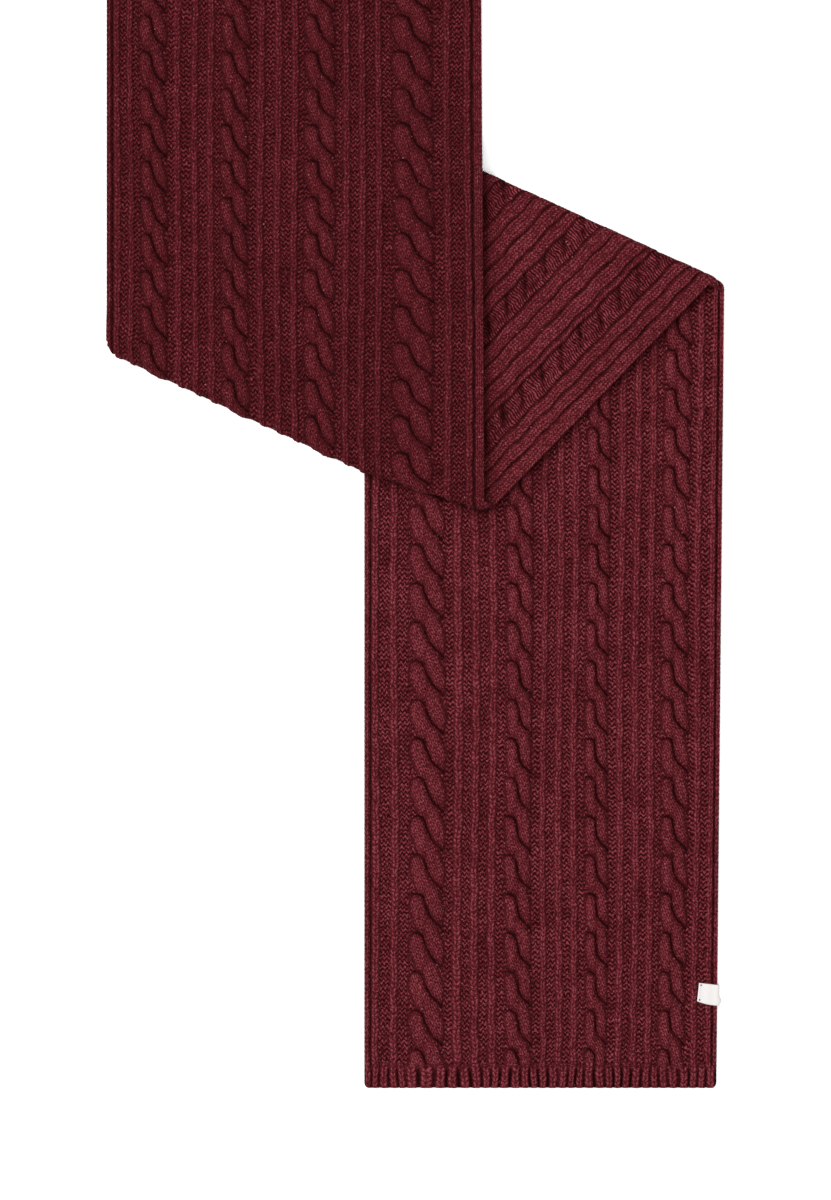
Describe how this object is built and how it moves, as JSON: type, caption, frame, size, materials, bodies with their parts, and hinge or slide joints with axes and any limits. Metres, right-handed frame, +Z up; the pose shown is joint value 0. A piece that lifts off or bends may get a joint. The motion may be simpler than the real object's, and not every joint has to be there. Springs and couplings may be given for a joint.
{
  "type": "knit scarf",
  "caption": "Long chunky cable-knit scarf lying flat in a Z fold, with rib-knit ends and a small blank woven label on one edge.",
  "frame": {"origin": "centre of the footprint of the folded scarf, on the surface it lies on", "axes": "+Z up from the surface, +Y along the two straight stretches from the lower rib hem towards the far end, +X to the right as seen from above"},
  "size_m": [0.5247, 1.307, 0.0157],
  "materials": {
    "wine_wool": "chunky cable knit in soft matt wine-red wool with a fine halo of fibres",
    "label_cloth": "matt off-white woven ribbon"
  },
  "bodies": {
    "root": {"lower_stretch": "wine_wool", "middle_stretch": "wine_wool", "upper_stretch": "wine_wool", "label": "label_cloth"}
  },
  "joints": []
}
